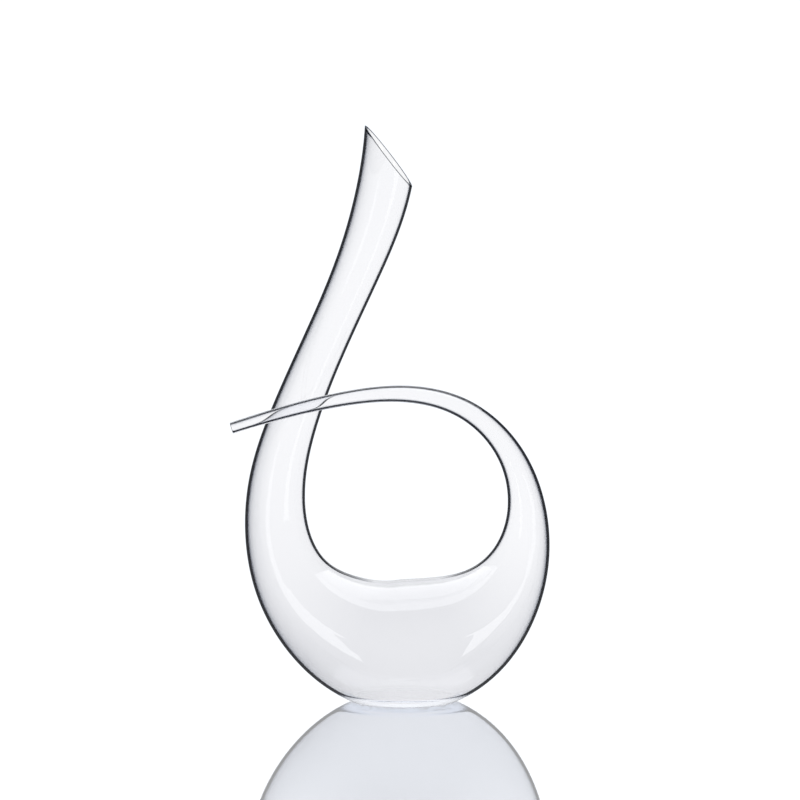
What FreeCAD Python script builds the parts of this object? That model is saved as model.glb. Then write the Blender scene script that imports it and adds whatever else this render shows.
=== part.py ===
import FreeCAD, Part
import math
import os

# Wine decanter of clear glass: one tube, blown and drawn into a loop. It runs from a slanted
# mouth down the neck, swells into a crescent bowl, thins into a tail that rises on the right,
# arches over the hand hole and crosses in front of the neck, and ends in an open tip.
# Each node is one worked section of that tube. Millimetres, +Z up, the origin on the table
# at the middle of the foot, +X towards the side where the tail rises, -Y towards the user.

# x, y, z of the tube's centreline, and the tube's outer radius there
STATIONS = [
    (-8.5, 4.0, 385.5, 16.25),  # 0 just past the slanted mouth
    (-15.0, 4.0, 329.0, 17.5),  # 1 lip meets neck
    (-29.5, 4.0, 287.0, 15.5),
    (-73.0, 2.0, 184.0, 16.25),
    (-83.0, 1.0, 143.0, 18.75),  # 4 neck meets shoulder
    (-71.0, 0.0, 77.5, 26.5),  # 5 shoulder meets bowl
    (-47.5, 0.0, 53.0, 35.25),
    (-5.5, 0.0, 37.0, 43.5),
    (36.0, 0.0, 47.0, 39.5),
    (66.5, 0.0, 74.0, 26.0),  # 9 bowl meets tail root
    (75.5, 0.0, 91.0, 20.25),
    (71.0, -5.5, 163.0, 8.75),  # 11 tail root meets tail arch
    (39.5, -9.5, 195.5, 6.5),
    (4.0, -15.5, 206.0, 5.5),  # 13 top of the arch
    (-37.0, -21.0, 204.0, 4.75),
    (-87.0, -24.0, 192.5, 4.0),  # 15 tail arch meets tail tip
    (-111.5, -24.5, 185.0, 3.75),  # 16 open end of the tail
]

# the station where each section of the tube starts and ends
SECTIONS = {
    "mouth_lip": (0, 1),
    "neck": (1, 4),
    "shoulder": (4, 5),
    "bowl": (5, 9),
    "tail_root": (9, 11),
    "tail_arch": (11, 15),
    "tail_tip": (15, 16),
}

WALL_THINNEST = 1.3  # the wall of a tube drawn down to nothing
WALL_PER_RADIUS = 0.018  # what the wall gains with the tube's radius
MOUTH_CENTRE = FreeCAD.Vector(-9.3, 4.0, 359.5)
MOUTH_SLANT = 52.4  # degrees that the cut leans from level, down towards +X
MOUTH_TURN = -3.3  # degrees that the cut is turned about Z, towards the user
FOOT_THICKNESS = 2.0  # the pad ground flat under the bowl
FLOOR_HEIGHT = 4.0  # inside floor of the bowl, above the table
RING_SPACING = 9.0  # along the tube, between the circles of a loft
ROOM = 500.0  # larger than the decanter, for cutting blocks


def chord_lengths():
    """Distances along the stations' chords, the parameter of both splines."""
    lengths = [0.0]
    for here, there in zip(STATIONS, STATIONS[1:]):
        lengths.append(lengths[-1] + math.dist(here[:3], there[:3]))
    return lengths


def spline_through(points):
    curve = Part.BSplineCurve()
    curve.interpolate(Points=points, Parameters=KNOTS)
    return curve


KNOTS = chord_lengths()
CENTRELINE = spline_through([FreeCAD.Vector(x, y, z) for x, y, z, _ in STATIONS])
GIRTH = spline_through(
    [FreeCAD.Vector(station[3], knot, 0) for station, knot in zip(STATIONS, KNOTS)]
)


def outer_radius(along):
    return GIRTH.value(along).x


def inner_radius(along):
    radius = outer_radius(along)
    return radius - WALL_THINNEST - WALL_PER_RADIUS * radius


def ring(along, radius):
    """A circle square to the centreline."""
    centre = CENTRELINE.value(along)
    ahead = CENTRELINE.tangent(along)[0]
    side = ahead.cross(FreeCAD.Vector(0, 1, 0)).normalize()
    front = ahead.cross(side)
    circle = Part.makeCircle(radius)
    circle.Placement = FreeCAD.Placement(
        FreeCAD.Matrix(
            side.x, front.x, ahead.x, centre.x,
            side.y, front.y, ahead.y, centre.y,
            side.z, front.z, ahead.z, centre.z,
            0, 0, 0, 1,
        )
    )
    return Part.Wire(circle)


def tube(start, end, radius_at):
    """The solid inside the rings from one distance along the centreline to another."""
    count = max(3, math.ceil((end - start) / RING_SPACING))
    places = [start + (end - start) * i / count for i in range(count + 1)]
    return Part.makeLoft([ring(place, radius_at(place)) for place in places], True)


def bore(start, end):
    """The hollow between two distances, carried a little past any end that isn't a tube's end."""
    first = max(start - RING_SPACING, KNOTS[0])
    last = min(end + RING_SPACING, KNOTS[-1])
    return tube(first, last, inner_radius)


def slab(low, high):
    """Everything between two heights."""
    corner = FreeCAD.Vector(-ROOM, -ROOM, low)
    return Part.makeBox(2 * ROOM, 2 * ROOM, high - low, corner)


def above_the_mouth():
    """The block that the slanted cut takes off, its lower face in the plane of the cut."""
    block = Part.makeBox(2 * ROOM, 2 * ROOM, ROOM, FreeCAD.Vector(-ROOM, -ROOM, 0))
    slant = FreeCAD.Rotation(FreeCAD.Vector(0, 1, 0), MOUTH_SLANT)
    turn = FreeCAD.Rotation(FreeCAD.Vector(0, 0, 1), MOUTH_TURN)
    block.Placement = FreeCAD.Placement(MOUTH_CENTRE, turn * slant)
    return block


def section_of_tube(name):
    """One section: its outside less its bore, with the cuts that only it has."""
    start, end = [KNOTS[station] for station in SECTIONS[name]]
    outside = tube(start, end, outer_radius)
    hollow = bore(start, end)
    if name == "mouth_lip":
        outside = outside.cut(above_the_mouth())
    if name == "bowl":
        outside = outside.common(slab(FOOT_THICKNESS, ROOM))
        hollow = hollow.common(slab(FLOOR_HEIGHT, ROOM))
    return outside.cut(hollow)


def foot_pad():
    """The solid glass pad under the bowl, flat on the table."""
    start, end = [KNOTS[station] for station in SECTIONS["bowl"]]
    return tube(start, end, outer_radius).common(slab(0, FOOT_THICKNESS))


def export(name, shape):
    solids = shape.Solids
    if len(solids) != 1 or not solids[0].isValid():
        raise SystemExit(f"{name} is not one valid solid")
    solids[0].exportStep(f"parts/{name}.step")
    print(f"{name}: {solids[0].Volume / 1000:.1f} cm3")


os.makedirs("parts", exist_ok=True)
for section in SECTIONS:
    export(section, section_of_tube(section))
export("foot_pad", foot_pad())
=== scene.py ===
import math

import bmesh
import bpy
import numpy as np
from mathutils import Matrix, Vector

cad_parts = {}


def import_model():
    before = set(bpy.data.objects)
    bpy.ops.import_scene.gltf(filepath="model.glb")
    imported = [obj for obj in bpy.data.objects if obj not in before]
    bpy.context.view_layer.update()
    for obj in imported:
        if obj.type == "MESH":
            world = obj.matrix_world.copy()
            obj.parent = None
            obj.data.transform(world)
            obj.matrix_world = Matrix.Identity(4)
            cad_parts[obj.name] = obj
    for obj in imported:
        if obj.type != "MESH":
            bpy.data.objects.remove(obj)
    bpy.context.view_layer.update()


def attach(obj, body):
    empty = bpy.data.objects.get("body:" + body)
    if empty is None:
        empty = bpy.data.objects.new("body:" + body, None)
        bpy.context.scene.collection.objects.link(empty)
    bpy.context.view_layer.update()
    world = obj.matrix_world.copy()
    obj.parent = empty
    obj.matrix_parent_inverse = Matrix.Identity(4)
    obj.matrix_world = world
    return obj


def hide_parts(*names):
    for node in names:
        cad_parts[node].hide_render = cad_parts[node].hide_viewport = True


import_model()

# The decanter is one tube of clear glass. Its centreline, radii, wall and cuts are the CAD model's.
# Metres, +Z up, -Y towards the user, the origin on the table under the bowl.

# --- the decanter's shape ----------------------------------------------------------------

MM = 0.001
# x, y, z of the centreline and the outer radius there, from just past the mouth to the tail's tip
STATIONS = MM * np.array(
    [
        (-8.5, 4.0, 385.5, 16.25),
        (-15.0, 4.0, 329.0, 17.5),
        (-29.5, 4.0, 287.0, 15.5),
        (-73.0, 2.0, 184.0, 16.25),
        (-83.0, 1.0, 143.0, 18.75),
        (-71.0, 0.0, 77.5, 26.5),
        (-47.5, 0.0, 53.0, 35.25),
        (-5.5, 0.0, 37.0, 43.5),
        (36.0, 0.0, 47.0, 39.5),
        (66.5, 0.0, 74.0, 26.0),
        (75.5, 0.0, 91.0, 20.25),
        (71.0, -5.5, 163.0, 8.75),
        (39.5, -9.5, 195.5, 6.5),
        (4.0, -15.5, 206.0, 5.5),
        (-37.0, -21.0, 204.0, 4.75),
        (-87.0, -24.0, 192.5, 4.0),
        (-111.5, -24.5, 185.0, 3.75),
    ]
)
# the stations between which each CAD node lies
SECTIONS = {
    "mouth_lip": (0, 1),
    "neck": (1, 4),
    "shoulder": (4, 5),
    "bowl": (5, 9),
    "tail_root": (9, 11),
    "tail_arch": (11, 15),
    "tail_tip": (15, 16),
}
WIDEST = STATIONS[:, 3].max()
# the wall's thickness is the first of these plus the second times the outer radius
WALL_THINNEST = 1.3 * MM
WALL_PER_RADIUS = 0.018
MOUTH_CENTRE = MM * np.array((-9.3, 4.0, 359.5))
MOUTH_SLANT = math.radians(52.4)  # of the mouth's axis, from straight up towards +X
MOUTH_TURN = math.radians(-3.3)  # of the same axis, about +Z
FOOT_THICKNESS = 2.0 * MM
FLOOR_HEIGHT = 4.0 * MM  # of the lowest place inside, over the table
FOOT = "foot_pad"
RIM_ROUNDNESS = 0.5  # 0 for a sharp cut, 1 for a half-round rim
FOOT_ROUNDING = 0.8 * MM
FLOOR_ROUNDING = 4.0 * MM

COLUMNS = 128  # vertices round the tube
RING_SPACING = 2.2 * MM
RIM_STEPS = 7  # across each fire-polished rim
FOOT_EDGE_STEPS = (-1, -0.6, -0.3, 0, 0.3, 0.6, 1)  # heights of the rings at the foot's edge, in roundings
HALVINGS = 40  # in the search for where a skin meets a plane
CUT_TOLERANCE = 1e-7
OUTER, INNER, RIM, CAP = range(4)  # the kinds of faces, which are also their material slots


# --- the tube's surfaces -----------------------------------------------------------------


class Spline:
    """The cubic spline through rows of values.

    Its slope at each end is that of the one cubic through the four rows there.
    """

    def __init__(self, knots, rows):
        self.knots, self.rows = knots, rows
        count, span = len(knots), np.diff(knots)
        system, right = np.zeros((count, count)), np.zeros(rows.shape)
        for i in range(1, count - 1):
            system[i, i - 1] = 1 / span[i - 1]
            system[i, i] = 2 / span[i - 1] + 2 / span[i]
            system[i, i + 1] = 1 / span[i]
            right[i] = 3 * (rows[i] - rows[i - 1]) / span[i - 1] ** 2
            right[i] += 3 * (rows[i + 1] - rows[i]) / span[i] ** 2
        system[0, 0] = system[-1, -1] = 1
        right[0] = np.polyfit(knots[:4] - knots[0], rows[:4], 3)[-2]
        right[-1] = np.polyfit(knots[-4:] - knots[-1], rows[-4:], 3)[-2]
        self.slopes = np.linalg.solve(system, right)

    def _place(self, at):
        i = np.clip(np.searchsorted(self.knots, at) - 1, 0, len(self.knots) - 2)
        length = (self.knots[i + 1] - self.knots[i])[:, None]
        return i, length, (at - self.knots[i])[:, None] / length

    def value(self, at):
        i, length, s = self._place(at)
        rows = (2 * s**3 - 3 * s**2 + 1) * self.rows[i] + (3 * s**2 - 2 * s**3) * self.rows[i + 1]
        bends = (s**3 - 2 * s**2 + s) * self.slopes[i] + (s**3 - s**2) * self.slopes[i + 1]
        return rows + bends * length

    def slope(self, at):
        i, length, s = self._place(at)
        rows = (6 * s**2 - 6 * s) * (self.rows[i] - self.rows[i + 1]) / length
        return rows + (3 * s**2 - 4 * s + 1) * self.slopes[i] + (3 * s**2 - 2 * s) * self.slopes[i + 1]


def unit(vectors):
    return vectors / np.linalg.norm(vectors, axis=-1, keepdims=True)


KNOTS = np.concatenate([[0], np.cumsum(np.linalg.norm(np.diff(STATIONS[:, :3], axis=0), axis=1))])
TUBE = Spline(KNOTS, STATIONS)
TURNS = 2 * math.pi * np.arange(COLUMNS) / COLUMNS
MOUTH_NORMAL = np.array(
    (
        math.sin(MOUTH_SLANT) * math.cos(MOUTH_TURN),
        math.sin(MOUTH_SLANT) * math.sin(MOUTH_TURN),
        math.cos(MOUTH_SLANT),
    )
)
TIP_NORMAL = unit(TUBE.slope(KNOTS[-1:])[0, :3])


def wall_at(radius):
    """The wall's thickness where the tube has an outer radius."""
    return WALL_THINNEST + WALL_PER_RADIUS * radius


MOUTH_RIM = RIM_ROUNDNESS * wall_at(STATIONS[0, 3]) / 2
TIP_RIM = RIM_ROUNDNESS * wall_at(STATIONS[-1, 3]) / 2


def skin(along, inside):
    """One ring of the outer or inner surface, as rows of x, y, z and the tube's outer radius.

    along is each column's distance along the tube.
    """
    row = TUBE.value(along)
    ahead = unit(TUBE.slope(along)[:, :3])
    side = unit(np.cross(ahead, (0, 1, 0)))
    front = np.cross(ahead, side)
    radius = row[:, 3] - (wall_at(row[:, 3]) if inside else 0)
    outward = side * np.cos(TURNS)[:, None] + front * np.sin(TURNS)[:, None]
    return np.column_stack([row[:, :3] + radius[:, None] * outward, row[:, 3]])


def where_it_meets(origin, normal, low, high, inside):
    """Each column's distance along the tube at which a skin crosses a plane, between two distances."""
    low, high = np.full(COLUMNS, low), np.full(COLUMNS, high)
    past = (skin(high, inside)[:, :3] - origin) @ normal > 0
    for _ in range(HALVINGS):
        middle = (low + high) / 2
        same = ((skin(middle, inside)[:, :3] - origin) @ normal > 0) == past
        high, low = np.where(same, middle, high), np.where(same, low, middle)
    return (low + high) / 2


def smooth_max(value, floor, rounding):
    """The larger of a value and a floor, with the corner between them rounded."""
    near = np.clip(rounding - np.abs(value - floor), 0, None)
    return np.maximum(value, floor) + near**2 / (4 * rounding)


def skin_rings(inside):
    """(ring, section) along one skin: outside from the mouth to the tip, inside from the tip to the mouth."""
    mouth = where_it_meets(MOUTH_CENTRE - MOUTH_RIM * MOUTH_NORMAL, MOUTH_NORMAL, KNOTS[0], KNOTS[1], inside)
    tip = where_it_meets(STATIONS[-1, :3] - TIP_RIM * TIP_NORMAL, TIP_NORMAL, KNOTS[-2], KNOTS[-1], inside)
    rings = []
    for name, (first, last) in SECTIONS.items():
        near = mouth if name == "mouth_lip" else KNOTS[first]
        far = tip if name == "tail_tip" else KNOTS[last]
        count = max(2, math.ceil((KNOTS[last] - KNOTS[first]) / RING_SPACING))
        # a section's rings stop short of the seam where the next one's start
        shares = np.arange(1, count + 1) / count if inside else np.arange(count) / count
        for share in shares:
            ring = skin(near + share * (far - near) + np.zeros(COLUMNS), inside)
            if inside and name == "bowl":
                ring[:, 2] = smooth_max(ring[:, 2], FLOOR_HEIGHT, FLOOR_ROUNDING)
            rings.append((ring, name))
    if inside:
        return rings[::-1] + [(skin(mouth, True), "mouth_lip")]
    return rings + [(skin(tip, False), "tail_tip")]


def rim_rings(first, second, normal, height, section):
    """(ring, section) over a rounded edge, between one skin's last ring and the other's first."""
    middle, reach = (first + second) / 2, (first - second) / 2
    crown = np.append(height * normal, 0)
    angles = math.pi * np.arange(1, RIM_STEPS) / RIM_STEPS
    return [(middle + reach * math.cos(a) + crown * math.sin(a), section) for a in angles]


# --- the meshes --------------------------------------------------------------------------


def whole_glass():
    """The decanter's one closed surface as a BMesh, and each seam's outer and inner ring of vertices."""
    outer, inner = skin_rings(False), skin_rings(True)
    tip = rim_rings(outer[-1][0], inner[0][0], TIP_NORMAL, TIP_RIM, "tail_tip")
    mouth = rim_rings(inner[-1][0], outer[0][0], MOUTH_NORMAL, MOUTH_RIM, "mouth_lip")
    rings = outer + tip + inner + mouth
    bm = bmesh.new()
    section = bm.faces.layers.int.new("section")
    kind = bm.faces.layers.int.new("kind")
    girth = bm.verts.layers.float.new("girth")
    names = list(SECTIONS)
    # of the faces between each ring and the next
    kinds = [OUTER] * (len(outer) - 1) + [RIM] * (len(tip) + 1)
    kinds += [INNER] * (len(inner) - 1) + [RIM] * (len(mouth) + 1)
    verts = [[bm.verts.new(row[:3]) for row in ring] for ring, _ in rings]
    for made, (ring, _) in zip(verts, rings):
        for vert, row in zip(made, ring):
            vert[girth] = row[3]
    for i, (_, name) in enumerate(rings):
        here, there = verts[i], verts[(i + 1) % len(rings)]
        for j in range(COLUMNS):
            k = (j + 1) % COLUMNS
            face = bm.faces.new((here[j], here[k], there[k], there[j]))
            face[section] = names.index(name)
            face[kind] = kinds[i]
    bmesh.ops.recalc_face_normals(bm, faces=bm.faces)
    seams = {}
    for a, b in zip(names, names[1:]):
        out = next(i for i, (_, name) in enumerate(outer) if name == b)
        back = next(i for i, (_, name) in enumerate(inner) if name == a)
        seams[b] = (verts[out], verts[len(outer) + len(tip) + back])
    return bm, seams


def flatten_foot(bm):
    """Presses the outside of the bowl flat on the table, with a small rounding at the foot's edge."""
    section, kind = bm.faces.layers.int["section"], bm.faces.layers.int["kind"]
    bowl = list(SECTIONS).index("bowl")
    edge_heights = FOOT_ROUNDING * np.array(FOOT_EDGE_STEPS)
    for height in (*edge_heights, FOOT_THICKNESS):
        faces = [f for f in bm.faces if f[kind] == OUTER and f[section] == bowl]
        near = [f for f in faces if min(v.co.z for v in f.verts) < height < max(v.co.z for v in f.verts)]
        edges = dict.fromkeys(e for f in near for e in f.edges)
        verts = dict.fromkeys(v for f in near for v in f.verts)
        bmesh.ops.bisect_plane(
            bm,
            geom=[*near, *edges, *verts],
            dist=CUT_TOLERANCE,
            plane_co=(0, 0, height),
            plane_no=(0, 0, 1),
        )
    under = {v for f in bm.faces if f[kind] == OUTER and f[section] == bowl for v in f.verts}
    for vert in under:
        vert.co.z = float(smooth_max(vert.co.z, 0.0, FOOT_ROUNDING))


def ahead_at(name):
    """The way along the tube, towards the tail's tip, at the seam before a section."""
    return Vector(TUBE.slope(KNOTS[SECTIONS[name][0]][None])[0, :3])


def centre_of(verts):
    return sum((v.co for v in verts), Vector()) / len(verts)


def seam_cap(seam, way):
    """Flat faces across the wall at a seam, turned to face one way."""
    outer, inner = seam
    quads = [(outer[j], outer[j - 1], inner[j - 1], inner[j]) for j in range(COLUMNS)]
    return [turned([v.co for v in quad], way) for quad in quads]


def turned(corners, way):
    """A face's corners in the order that makes it face one way."""
    normal = (corners[1] - corners[0]).cross(corners[2] - corners[0])
    return corners if normal.dot(way) > 0 else corners[::-1]


def piece(name, bm, faces, caps, materials):
    """A closed mesh from some of the whole surface's faces, smooth as the whole, and flat caps at its seams.

    materials are those of OUTER, INNER, RIM and CAP faces.
    """
    girth, kind = bm.verts.layers.float["girth"], bm.faces.layers.int["kind"]
    places, girths, polygons, normals, slots = {}, {}, [], [], []
    for face in faces:
        polygons.append([places.setdefault(tuple(v.co), len(places)) for v in face.verts])
        girths.update((tuple(v.co), v[girth]) for v in face.verts)
        normals += [v.normal for v in face.verts]
        slots.append(face[kind])
    for corners in caps:
        polygons.append([places.setdefault(tuple(co), len(places)) for co in corners])
        normals += [(corners[1] - corners[0]).cross(corners[2] - corners[0]).normalized()] * len(corners)
        slots.append(CAP)
    mesh = bpy.data.meshes.new(name)
    mesh.from_pydata(list(places), [], polygons)
    for used in materials:
        mesh.materials.append(used)
    mesh.polygons.foreach_set("material_index", slots)
    mesh.polygons.foreach_set("use_smooth", [True] * len(polygons))
    mesh.attributes.new("girth", "FLOAT", "POINT").data.foreach_set(
        "value", [girths.get(place, WIDEST) for place in places]
    )
    mesh.normals_split_custom_set(normals)
    obj = bpy.data.objects.new(name, mesh)
    bpy.context.scene.collection.objects.link(obj)
    return obj


def glass_pieces(materials):
    """One closed glass piece for each CAD node, as (object, node)."""
    bm, seams = whole_glass()
    flatten_foot(bm)
    bm.normal_update()
    section, kind = bm.faces.layers.int["section"], bm.faces.layers.int["kind"]
    names = list(SECTIONS)
    members = {name: [] for name in (*names, FOOT)}
    for face in bm.faces:
        name = names[face[section]]
        low = name == "bowl" and face[kind] == OUTER and face.calc_center_median().z < FOOT_THICKNESS
        members[FOOT if low else name].append(face)
    foot_faces = set(members[FOOT])
    # from the list and not the set, whose order isn't the same in each run
    rim = [e for f in members[FOOT] for e in f.edges if not foot_faces.issuperset(e.link_faces)]
    middle = centre_of([e.verts[0] for e in rim])
    made = []
    for name in (*names, FOOT):
        caps = []
        if name in seams:
            caps += seam_cap(seams[name], -ahead_at(name))
        after = names[names.index(name) + 1] if name in names[:-1] else None
        if after:
            caps += seam_cap(seams[after], ahead_at(after))
        if name in (FOOT, "bowl"):
            up = Vector((0, 0, 1 if name == FOOT else -1))
            caps += [turned([e.verts[0].co, e.verts[1].co, middle], up) for e in rim]
        made.append((piece(name + "_glass", bm, members[name], caps, materials), name))
    bm.free()
    return made


# --- materials ---------------------------------------------------------------------------

GLASS_IOR = 1.5
# the outer radii up to which the tube counts as thin and from which it counts as wide
THIN_GIRTH = 16 * MM
WIDE_GIRTH = 40 * MM
# what two walls let through of the light behind them: the glass's cool tint and painted grey shade
THIN_TINT_AND_SHADE = (0.955, 0.96, 0.985, 1)
WIDE_TINT_AND_SHADE = (0.838, 0.845, 0.879, 1)
# how strong the gloss is
THIN_GLOSS = (0.4, 0.4, 0.4, 1)
WIDE_GLOSS = (1, 1, 1, 1)
# what a fire-polished rim lets through, darkened by painted shade, and what a skin does of a ray that is
# caught in the wall
RIM_PAINTED_SHADE = (0.2, 0.21, 0.23, 1)
CAUGHT_TINT = (0.86, 0.875, 0.905, 1)
WHITE = (1, 1, 1, 1)

FACING_BLEND = 0.5  # the blend at which Layer Weight leaves the cosine as it is
# The light path counts whole bounces, so the first two lie between two counts.
FIRST_BOUNCE = 1.5
MOST_MIRRORED = 2.5  # a ray that is mirrored more often is caught in the wall
SAME_COUNT = 0.5  # how far a count may be from another to be the same

# Painted shade in the glass's inner skin, for dark cards beside a bright field that the studio doesn't have.
# They stand nearer to a wall that faces away from the pivot and further from one that faces it, by a shift
# that grows with the wall's distance from it, up to the reach.
CARD_PIVOT = (40 * MM, 0, 0)
OUTWARD_REACH = 70 * MM
OUTWARD_SHIFT = 0.09  # of the tangent of a ray's turn
HEIGHT_WEIGHT = 1.8  # how much of the cards a wall that faces up or down sees, per metre of height
TABLE_REACH = 40 * MM  # how far up the bright table top outshines the cards in front and behind
# the painted shade: how bright what a ray would see is, by the tangent of the ray's turn
PAINTED_CARD_SHADES = [(0.13, 1.0), (0.2, 0.95), (0.27, 0.78), (0.36, 0.5), (0.46, 0.22), (0.6, 0.05), (1.0, 0.02)]
# painted shade, darker towards a tube's edges: how much a wall that faces away from the pivot passes, from
# head on (0) to where it mirrors all (0.25)
PAINTED_LIMB_SHADES = [(0.0, 1.0), (0.03, 0.97), (0.06, 0.94), (0.1, 0.9), (0.14, 0.86), (0.19, 0.8), (0.25, 0.75)]
SHADE_POWERS = (1, 0.97, 0.9)  # of red, green and blue, so that darker shades are bluer


def material(name):
    """A new node material: the material, its node tree and its output."""
    made = bpy.data.materials.new(name)
    made.use_nodes = True
    made.node_tree.nodes.clear()
    return made, made.node_tree, made.node_tree.nodes.new("ShaderNodeOutputMaterial")


def link_or_set(tree, socket, value):
    """Gives a socket its value, which is another socket or a constant."""
    if isinstance(value, bpy.types.NodeSocket):
        tree.links.new(value, socket)
    else:
        socket.default_value = value


def calculated(tree, operation, *values):
    """The output of a Math node, from sockets or numbers."""
    node = tree.nodes.new("ShaderNodeMath")
    node.operation = operation
    for socket, value in zip(node.inputs, values):
        link_or_set(tree, socket, value)
    return node.outputs[0]


def vector_calculated(tree, operation, first, second, output="Vector"):
    """An output of a Vector Math node, from sockets or vectors."""
    node = tree.nodes.new("ShaderNodeVectorMath")
    node.operation = operation
    link_or_set(tree, node.inputs[0], first)
    link_or_set(tree, node.inputs[1], second)
    return node.outputs[output]


def blended(tree, share, first, second):
    """A colour between two colours, each a socket or four numbers."""
    node = tree.nodes.new("ShaderNodeMix")
    node.data_type = "RGBA"
    link_or_set(tree, node.inputs["Factor"], share)
    # the node has sockets A, B and Result for each data type, and these are the colours'
    link_or_set(tree, node.inputs[6], first)
    link_or_set(tree, node.inputs[7], second)
    return node.outputs[2]


def mixed(tree, share, first, second):
    """A shader between two shader nodes."""
    node = tree.nodes.new("ShaderNodeMixShader")
    link_or_set(tree, node.inputs[0], share)
    tree.links.new(first.outputs[0], node.inputs[1])
    tree.links.new(second.outputs[0], node.inputs[2])
    return node.outputs[0]


def facing(tree):
    """1 less the cosine of the angle at which a ray meets the surface: 0 head on, 1 where it grazes it."""
    node = tree.nodes.new("ShaderNodeLayerWeight")
    node.inputs["Blend"].default_value = FACING_BLEND
    return node.outputs["Facing"]


def shaded(tree, value, shades):
    """A colour that goes through some shades of slightly blue grey as a value goes from 0 to 1."""
    node = tree.nodes.new("ShaderNodeValToRGB")
    stops = node.color_ramp.elements
    for stop, (place, _) in zip(stops, (shades[0], shades[-1])):
        stop.position = place
    for place, _ in shades[1:-1]:
        stops.new(place)
    for stop, (_, painted_shade) in zip(stops, shades):
        stop.color = (*(painted_shade**power for power in SHADE_POWERS), 1)
    link_or_set(tree, node.inputs[0], value)
    return node.outputs[0]


def mirrored_by_glass(tree, path):
    """1 for a ray that smooth glass has just mirrored and that isn't caught in a wall, else 0."""
    glossy, transmitted = path.outputs["Is Glossy Ray"], path.outputs["Is Transmission Ray"]
    mirrored = calculated(tree, "SUBTRACT", glossy, transmitted)
    mirrored = calculated(tree, "MAXIMUM", mirrored, 0.0)
    mirrored = calculated(tree, "MULTIPLY", mirrored, path.outputs["Is Singular Ray"])
    free = calculated(tree, "LESS_THAN", path.outputs["Glossy Depth"], MOST_MIRRORED)
    return calculated(tree, "MULTIPLY", mirrored, free)


def mirrored_first(tree, path):
    """1 for a ray from the camera that the glass's outside has mirrored, else 0."""
    first = calculated(tree, "LESS_THAN", path.outputs["Ray Depth"], FIRST_BOUNCE)
    return calculated(tree, "MULTIPLY", first, mirrored_by_glass(tree, path))


def finish_glass(tree, output, shader):
    """Makes a shader the surface, except for two kinds of rays.

    A ray that is caught in the wall, to be mirrored on and on, goes straight on with a tint. A ray that
    the outside mirrored first goes on unchanged: the decanter's gloss shows the studio, not the decanter.
    """
    path = tree.nodes.new("ShaderNodeLightPath")
    caught = calculated(tree, "GREATER_THAN", path.outputs["Glossy Depth"], MOST_MIRRORED)
    clear = tree.nodes.new("ShaderNodeBsdfTransparent")
    tree.links.new(blended(tree, caught, WHITE, CAUGHT_TINT), clear.inputs["Color"])
    straight_on = calculated(tree, "MAXIMUM", caught, mirrored_first(tree, path))
    tree.links.new(mixed(tree, straight_on, shader, clear), output.inputs["Surface"])


def glass_shader(tree, colour):
    """Clear polished glass of a colour."""
    shader = tree.nodes.new("ShaderNodeBsdfGlass")
    shader.inputs["Roughness"].default_value = 0.0
    shader.inputs["IOR"].default_value = GLASS_IOR
    link_or_set(tree, shader.inputs["Color"], colour)
    return shader


def girth_of(tree):
    """The tube's outer radius, as the mesh carries it."""
    node = tree.nodes.new("ShaderNodeAttribute")
    node.attribute_name = "girth"
    return node.outputs["Fac"]


def seam_material():
    """Nothing at all: the seams between the sections of one wall of glass don't show."""
    made, tree, output = material("seam")
    clear = tree.nodes.new("ShaderNodeBsdfTransparent")
    tree.links.new(clear.outputs[0], output.inputs["Surface"])
    return made


def outer_skin_material():
    """Clear glass with its cool tint and painted grey shade, both deeper where the tube is wide."""
    made, tree, output = material("decanter_glass_outer")
    share = tree.nodes.new("ShaderNodeMapRange")
    link_or_set(tree, share.inputs["Value"], girth_of(tree))
    share.inputs["From Min"].default_value = THIN_GIRTH
    share.inputs["From Max"].default_value = WIDE_GIRTH
    shader = tree.nodes.new("ShaderNodeBsdfPrincipled")
    tree.links.new(blended(tree, share.outputs[0], THIN_TINT_AND_SHADE, WIDE_TINT_AND_SHADE), shader.inputs["Base Color"])
    tree.links.new(blended(tree, share.outputs[0], THIN_GLOSS, WIDE_GLOSS), shader.inputs["Specular Tint"])
    shader.inputs["Roughness"].default_value = 0.0
    shader.inputs["IOR"].default_value = GLASS_IOR
    shader.inputs["Transmission Weight"].default_value = 1.0
    finish_glass(tree, output, shader)
    return made


def rim_material():
    """The fire-polished edges, which bend light so far that they look dark; their dark is painted shade in
    the glass's colour.
    """
    made, tree, output = material("decanter_glass_rim")
    finish_glass(tree, output, glass_shader(tree, RIM_PAINTED_SHADE))
    return made


def turned_by_wall(tree):
    """How far a round tube turns a ray that crosses it, in radians, and 1 if it is mirrored instead, else 0.

    The ray is met at the inner skin, on its way in through the glass. It is refracted into the wall, out of
    it, into it again on the far side and out. Past the edge of the bore the inner skin mirrors it.
    """
    at_inner = calculated(tree, "ARCCOSINE", calculated(tree, "SUBTRACT", 1.0, facing(tree)))
    # how far from the tube's axis the ray passes, as a share of the bore's radius and then of the outer one
    past = calculated(tree, "MULTIPLY", GLASS_IOR, calculated(tree, "SINE", at_inner))
    in_bore = calculated(tree, "ARCSINE", calculated(tree, "MINIMUM", past, 1.0))
    thinnest = calculated(tree, "DIVIDE", WALL_THINNEST, girth_of(tree))
    bore_share = calculated(tree, "SUBTRACT", 1 - WALL_PER_RADIUS, thinnest)
    aside = calculated(tree, "MINIMUM", calculated(tree, "MULTIPLY", past, bore_share), 1.0)
    at_outer = calculated(tree, "ARCSINE", aside)
    in_wall = calculated(tree, "ARCSINE", calculated(tree, "DIVIDE", aside, GLASS_IOR))
    turn = calculated(tree, "SUBTRACT", in_bore, at_inner)
    turn = calculated(tree, "ADD", calculated(tree, "SUBTRACT", turn, at_outer), in_wall)
    return calculated(tree, "MULTIPLY", 2.0, turn), calculated(tree, "GREATER_THAN", past, 1.0)


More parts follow.
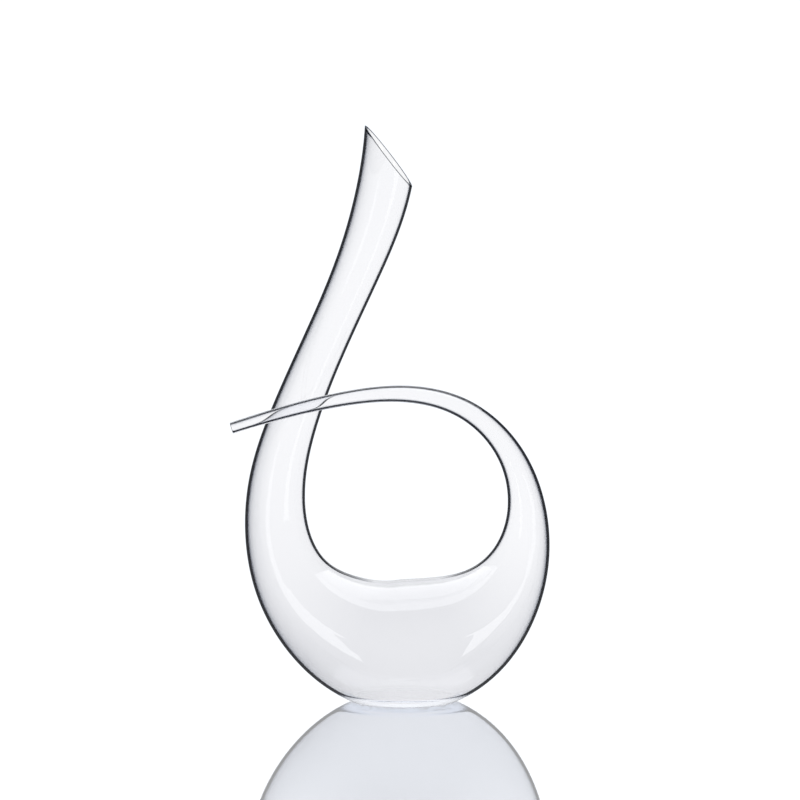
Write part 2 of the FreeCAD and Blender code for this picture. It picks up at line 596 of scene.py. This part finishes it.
def outwardness(tree, geometry, level_normal):
    """How far a wall lies from the cards' pivot and faces away from it: 1 at most, and -1 for towards it."""
    from_pivot = vector_calculated(tree, "SUBTRACT", geometry.outputs["Position"], CARD_PIVOT)
    outward = vector_calculated(tree, "DOT_PRODUCT", from_pivot, level_normal, "Value")
    outward = calculated(tree, "MULTIPLY", outward, 1 / OUTWARD_REACH)
    return calculated(tree, "MINIMUM", calculated(tree, "MAXIMUM", outward, -1.0), 1.0)


def painted_card_shade(tree, geometry):
    """Painted shade: what a turned ray would see of a bright field between dark cards that aren't there, as a
    share of the field.
    """
    turn, reflected = turned_by_wall(tree)
    height = tree.nodes.new("ShaderNodeSeparateXYZ")
    tree.links.new(geometry.outputs["Position"], height.inputs[0])
    above_table = calculated(tree, "MULTIPLY", height.outputs["Z"], 1 / TABLE_REACH)
    weights = tree.nodes.new("ShaderNodeCombineXYZ")
    weights.inputs["X"].default_value = 1
    tree.links.new(calculated(tree, "MINIMUM", above_table, 1.0), weights.inputs["Y"])
    level_normal = vector_calculated(tree, "MULTIPLY", geometry.outputs["Normal"], weights.outputs[0])
    outward = outwardness(tree, geometry, level_normal)
    aside = calculated(tree, "ADD", calculated(tree, "TANGENT", turn), reflected)
    aside = calculated(tree, "ADD", aside, calculated(tree, "MULTIPLY", outward, OUTWARD_SHIFT))
    sideways = vector_calculated(tree, "LENGTH", level_normal, (0, 0, 0), "Value")
    high = calculated(tree, "MULTIPLY", height.outputs["Z"], HEIGHT_WEIGHT)
    aside = calculated(tree, "MULTIPLY", aside, calculated(tree, "MAXIMUM", sideways, high))
    # painted shade that darkens walls facing away from the pivot towards their edges
    painted_limb_shade = shaded(tree, facing(tree), PAINTED_LIMB_SHADES)
    painted_limb_shade = blended(tree, calculated(tree, "MAXIMUM", outward, 0.0), WHITE, painted_limb_shade)
    return vector_calculated(tree, "MULTIPLY", shaded(tree, aside, PAINTED_CARD_SHADES), painted_limb_shade)


def inner_skin_material():
    """Clear glass with painted shade: it takes from rays met from within the wall what dark cards beside
    would take.
    """
    made, tree, output = material("decanter_glass_inner")
    geometry = tree.nodes.new("ShaderNodeNewGeometry")
    painted_shade, from_wall = painted_card_shade(tree, geometry), geometry.outputs["Backfacing"]
    finish_glass(tree, output, glass_shader(tree, blended(tree, from_wall, WHITE, painted_shade)))
    return made


# --- the studio --------------------------------------------------------------------------

FLOOR_SIZE = 60.0
FLOOR_DROP = 0.2 * MM  # air under the foot
FLOOR_WHITE = (0.95, 0.95, 0.95, 1)
FLOOR_MIRROR = (0.80, 0.83, 0.88, 1)
FLOOR_GLOSS_POWER = 1.5
FLOOR_ROUGHNESS = 0.01
STRIP_STRENGTH, OVERHEAD_STRENGTH, BACKDROP_STRENGTH = 2.8, 1.7, 0.6
# what the world's light of 1 loses in the glass's gloss, and gains in the floor's gloss and on matt surfaces
WORLD_DARKNESS, FLOOR_EXTRA, DIFFUSE_EXTRA = 0.88, 0.3, 0.12
STRIP_DISTANCE = 1.2
# the strip softboxes' corners: degrees from the front towards +X, and height over the table
LEFT_STRIP = [
    (-27, 0.34),
    (-32, 0.34),
    (-36, 0.17),
    (-40, 0.10),
    (-40, -0.10),
    (-33, -0.28),
    (-28, -0.41),
    (-25.5, -0.50),
    (-25, -0.25),
    (-26.5, -0.10),
    (-26, 0.14),
    (-22, 0.20),
]
RIGHT_STRIP = [
    (27, 0.19),
    (50, 0.19),
    (50, 0.0),
    (46, -0.12),
    (42, -0.32),
    (36, -0.48),
    (34, -0.10),
    (33.5, 0.04),
    (32.5, 0.13),
]
OVERHEAD = (-1.0, -0.35, 1.0, 1.2, 1.2)  # left, front, right and back edge, and height
BACKDROP = (-0.35, 0.35, 1.5, -0.1, 1.65)  # left and right edge, distance, low and high edge
CAMERA_DISTANCE = 3.0
CAMERA_TILT = math.radians(7.7)
CAMERA_X = -2.2 * MM
CAMERA_LENS, CAMERA_SENSOR = 206.6, 36.0
CAMERA_REACH = 200
TARGET_Z = 200.1 * MM


def floor_material():
    """White gloss acrylic: it mirrors more the lower it is seen."""
    made, tree, output = material("floor")
    white = tree.nodes.new("ShaderNodeBsdfDiffuse")
    white.inputs["Color"].default_value = FLOOR_WHITE
    mirror = tree.nodes.new("ShaderNodeBsdfGlossy")
    mirror.inputs["Color"].default_value = FLOOR_MIRROR
    mirror.inputs["Roughness"].default_value = FLOOR_ROUGHNESS
    share = calculated(tree, "POWER", facing(tree), FLOOR_GLOSS_POWER)
    tree.links.new(mixed(tree, share, white, mirror), output.inputs["Surface"])
    return made


def light_material(name, strength, through_glass=False):
    """Light for rays that the glass's outside mirrored first or, if told so, for all mirrored just once."""
    made, tree, output = material(name)
    glow = tree.nodes.new("ShaderNodeEmission")
    glow.inputs["Color"].default_value = WHITE
    glow.inputs["Strength"].default_value = strength
    clear = tree.nodes.new("ShaderNodeBsdfTransparent")
    path = tree.nodes.new("ShaderNodeLightPath")
    if through_glass:
        share = calculated(tree, "COMPARE", path.outputs["Glossy Depth"], 1.0, SAME_COUNT)
    else:
        share = mirrored_first(tree, path)
    tree.links.new(mixed(tree, share, clear, glow), output.inputs["Surface"])
    return made


def studio_floor():
    """The floor, which rays from the glass don't meet: they see the white studio all round."""
    bpy.ops.mesh.primitive_plane_add(size=FLOOR_SIZE, location=(0, 0, -FLOOR_DROP))
    floor = bpy.context.object
    floor.name = "studio_floor"
    floor.data.materials.append(floor_material())
    floor.visible_glossy = floor.visible_transmission = False


def softbox(name, corners, light):
    """A panel of light that shows only in reflections."""
    mesh = bpy.data.meshes.new(name)
    mesh.from_pydata(corners, [], [range(len(corners))])
    mesh.materials.append(light)
    made = bpy.data.objects.new(name, mesh)
    bpy.context.scene.collection.objects.link(made)
    made.visible_camera = made.visible_diffuse = made.visible_shadow = False


def softboxes():
    """Two upright strips in front of the decanter, one wide panel over it and one upright panel behind it."""
    strip_light = light_material("strip_light", STRIP_STRENGTH)
    for strip in (LEFT_STRIP, RIGHT_STRIP):
        places = [(math.radians(azimuth), height) for azimuth, height in strip]
        corners = [(STRIP_DISTANCE * math.sin(a), -STRIP_DISTANCE * math.cos(a), z) for a, z in places]
        softbox("softbox_strip", corners, strip_light)
    left, front, right, back, height = OVERHEAD
    corners = [(left, front, height), (right, front, height), (right, back, height), (left, back, height)]
    overhead_light = light_material("overhead_light", OVERHEAD_STRENGTH, through_glass=True)
    softbox("softbox_overhead", corners, overhead_light)
    left, right, distance, low, high = BACKDROP
    corners = [(left, distance, low), (right, distance, low), (right, distance, high), (left, distance, high)]
    softbox("softbox_backdrop", corners, light_material("backdrop_light", BACKDROP_STRENGTH))


def world():
    """A white studio, which shows dark in the glass's own gloss and brighter in the floor's."""
    made = bpy.data.worlds.new("studio")
    bpy.context.scene.world = made
    made.use_nodes = True
    made.cycles.sampling_method = "NONE"
    tree = made.node_tree
    background = tree.nodes["Background"]
    background.inputs["Color"].default_value = WHITE
    path = tree.nodes.new("ShaderNodeLightPath")
    darker = calculated(tree, "MULTIPLY", mirrored_by_glass(tree, path), -WORLD_DARKNESS - FLOOR_EXTRA)
    lighter = calculated(tree, "MULTIPLY", path.outputs["Is Glossy Ray"], FLOOR_EXTRA)
    through = calculated(tree, "MULTIPLY", path.outputs["Is Transmission Ray"], -FLOOR_EXTRA)
    diffuse = calculated(tree, "MULTIPLY", path.outputs["Is Diffuse Ray"], DIFFUSE_EXTRA)
    glossy = calculated(tree, "ADD", darker, calculated(tree, "ADD", lighter, through))
    strength = calculated(tree, "ADD", calculated(tree, "ADD", glossy, diffuse), 1.0)
    tree.links.new(strength, background.inputs["Strength"])


def camera():
    """The camera in front, which looks slightly down at the middle of the decanter."""
    data = bpy.data.cameras.new("camera")
    data.lens, data.sensor_width = CAMERA_LENS, CAMERA_SENSOR
    data.clip_end = CAMERA_REACH
    made = bpy.data.objects.new("camera", data)
    bpy.context.scene.collection.objects.link(made)
    back, up = CAMERA_DISTANCE * math.cos(CAMERA_TILT), CAMERA_DISTANCE * math.sin(CAMERA_TILT)
    made.location = (CAMERA_X, -back, TARGET_Z + up)
    made.rotation_euler = (math.pi / 2 - CAMERA_TILT, 0, 0)
    bpy.context.scene.camera = made


# --- putting it together -----------------------------------------------------------------

glass_materials = [outer_skin_material(), inner_skin_material(), rim_material(), seam_material()]
for glass, node in glass_pieces(glass_materials):
    glass.visible_diffuse = False
    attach(glass, "root")
    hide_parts(node)
studio_floor()
softboxes()
world()
camera()
bpy.context.scene.view_settings.view_transform = "Standard"
